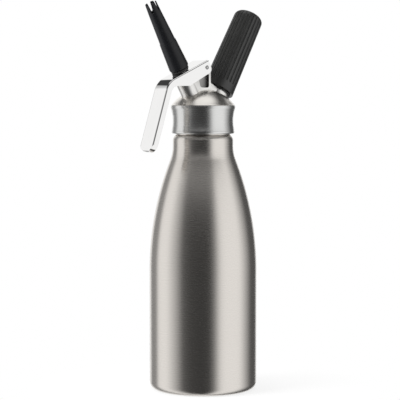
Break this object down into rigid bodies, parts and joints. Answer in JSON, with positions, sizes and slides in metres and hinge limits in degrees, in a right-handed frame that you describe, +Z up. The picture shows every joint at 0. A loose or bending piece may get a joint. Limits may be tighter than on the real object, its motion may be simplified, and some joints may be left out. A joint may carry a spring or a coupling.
{
  "type": "whipped cream dispenser",
  "caption": "Steel bottle with a screw-on domed head, a squeeze lever over a spring valve, a slotted decorating nozzle and a ribbed screw-on holder for a gas charger.",
  "frame": {"origin": "centre of the bottle's flat base, on the surface it stands on", "axes": "+Z up along the bottle; the lever and the nozzle point towards -X, the charger holder towards +X; the XZ plane is the plane of symmetry"},
  "size_m": [0.1313, 0.0964, 0.3464],
  "materials": {
    "brushed_bottle": "fine circumferential brushing",
    "brushed_dome": "spun and brushed",
    "satin_collar": "satin, turned",
    "polished_casting": "polished casting",
    "polished_lever": "mirror polish",
    "turned_steel": "turned",
    "spring_steel": "drawn wire",
    "charger_steel": "zinc plated",
    "brass": "turned",
    "sleeve_aluminium": "plain",
    "nozzle_plastic": "satin moulded",
    "grip_plastic": "fine moulded texture",
    "dark_plastic": "plain",
    "dark_rubber": "plain",
    "silicone": "plain"
  },
  "bodies": {
    "bottle": {"bottle": "brushed_bottle"},
    "gasket": {"head_gasket": "silicone"},
    "head": {"head_dome": "brushed_dome", "head_collar": "satin_collar", "head_block": "polished_casting", "valve_lock_nut": "turned_steel", "valve_seat": "brass", "valve_guide": "brass", "pin_holder": "turned_steel", "piercing_pin": "brass", "pin_gasket": "dark_rubber", "check_valve": "dark_rubber", "lever_pin": "turned_steel", "pivot_washers": "dark_plastic", "valve_spring": "spring_steel"},
    "lever": {"lever": "polished_lever"},
    "spindle": {"valve_spindle": "turned_steel", "spindle_collar": "turned_steel", "valve_seal": "dark_rubber", "seal_nut": "turned_steel", "spindle_o_ring": "dark_rubber", "nozzle_adaptor": "turned_steel"},
    "washer": {"nozzle_washer": "dark_rubber"},
    "nozzle": {"decorator_nozzle": "nozzle_plastic"},
    "holder_ring": {"holder_ring": "dark_rubber"},
    "holder": {"holder_sleeve": "sleeve_aluminium", "holder_grip": "grip_plastic", "charger_pad": "dark_rubber", "gas_charger": "charger_steel"}
  },
  "joints": [
    {"name": "head_lift", "type": "slide", "parent": "bottle", "child": "gasket", "axis": [0, 0, 1], "range_m": [0, 0.00788]},
    {"name": "head_turn", "type": "hinge", "parent": "gasket", "child": "head", "pos_m": [0, 0, 0.252], "axis": [0, 0, 1], "range_deg": [0, 810]},
    {"name": "lever_press", "type": "hinge", "parent": "head", "child": "lever", "pos_m": [-0.0045, 0, 0.289], "axis": [0, -1, 0], "range_deg": [0, 10]},
    {"name": "valve_stroke", "type": "slide", "parent": "head", "child": "spindle", "axis": [0.5, 0, -0.866], "range_m": [0, 0.00355], "stiffness_N_per_m": 1600, "springref_m": -0.004, "deforming": ["valve_spring"]},
    {"name": "nozzle_lift", "type": "slide", "parent": "spindle", "child": "washer", "axis": [-0.5, 0, 0.866], "range_m": [0, 0.0045]},
    {"name": "nozzle_turn", "type": "hinge", "parent": "washer", "child": "nozzle", "pos_m": [-0.0273, 0, 0.28798], "axis": [-0.5, 0, 0.866], "range_deg": [0, 1080]},
    {"name": "holder_lift", "type": "slide", "parent": "head", "child": "holder_ring", "axis": [0.4924, 0, 0.8704], "range_m": [0, 0.008]},
    {"name": "holder_turn", "type": "hinge", "parent": "holder_ring", "child": "holder", "pos_m": [0.01706, 0, 0.26861], "axis": [0.4924, 0, 0.8704], "range_deg": [0, 1440]}
  ],
  "couplings": [
    {"joint": "head_turn", "follows": "head_lift", "rad_per_m": 1795.2},
    {"joint": "lever_press", "follows": "valve_stroke", "rad_per_m": 49.164},
    {"joint": "nozzle_turn", "follows": "nozzle_lift", "rad_per_m": 4188.8},
    {"joint": "holder_turn", "follows": "holder_lift", "rad_per_m": 3141.6}
  ]
}
